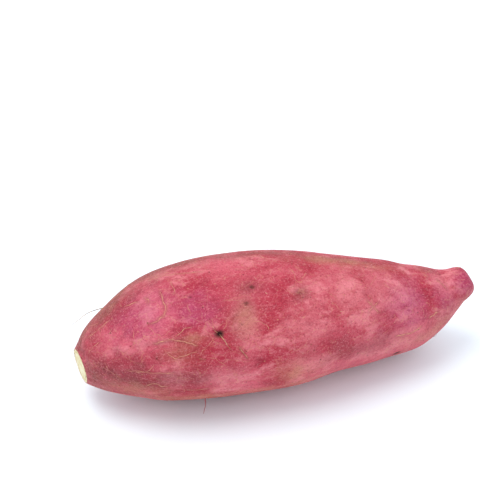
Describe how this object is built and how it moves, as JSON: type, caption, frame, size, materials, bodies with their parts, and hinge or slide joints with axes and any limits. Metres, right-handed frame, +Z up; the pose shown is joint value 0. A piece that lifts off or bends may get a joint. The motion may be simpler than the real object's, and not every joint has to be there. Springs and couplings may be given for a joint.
{
  "type": "sweet potato",
  "caption": "Whole raw sweet potato lying on its side, plump in the middle, with a flat-cut stem end and a blunt, upturned tail.",
  "frame": {"origin": "on the surface that the root rests on, under the middle of its bounding box", "axes": "+X runs along the root from the cut stem end to the tail, +Z is up from the surface that it rests on"},
  "size_m": [0.1942, 0.0654, 0.066],
  "materials": {
    "skin": "thin matt crimson-pink root skin with pale corky veins, tan scuffs and fine wrinkles",
    "cut_flesh": "dried cream-coloured flesh on the knife-cut stem end",
    "root_hair": "dry tan and reddish fibre"
  },
  "bodies": {
    "root": {"sweet_potato": "skin"}
  },
  "joints": []
}
